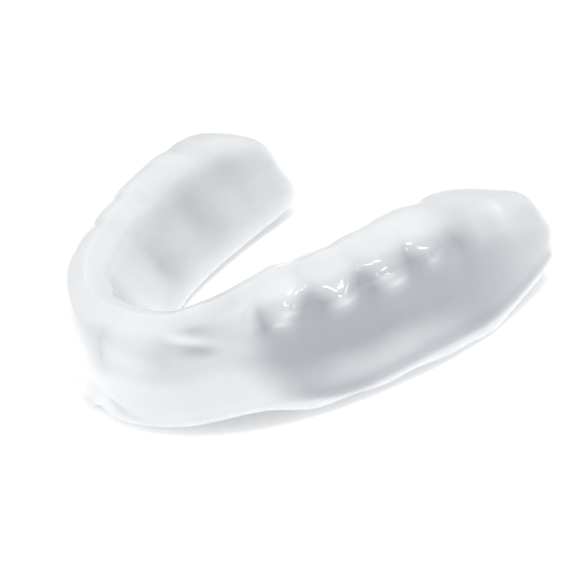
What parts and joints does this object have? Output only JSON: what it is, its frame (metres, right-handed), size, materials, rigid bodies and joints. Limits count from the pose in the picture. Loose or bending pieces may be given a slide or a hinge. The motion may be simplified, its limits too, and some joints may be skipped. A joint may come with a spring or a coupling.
{
  "type": "mouthguard",
  "caption": "Horseshoe mouthguard of milky, see-through moulded layers, with a trough that wraps the upper teeth and a raised bite face.",
  "frame": {"origin": "centre of the outline's bounding box, on the plane that the trough's rims rest on", "axes": "+X across the arch, -Y to the front (lip) side, +Y to the open heels, +Z from the rims up to the bite face"},
  "size_m": [0.065, 0.0542, 0.0175],
  "materials": {
    "shell": "glossy milky translucent EVA",
    "liner": "satin milky translucent soft EVA"
  },
  "bodies": {
    "root": {"outer_shell": "shell", "fit_liner": "liner"}
  },
  "joints": []
}
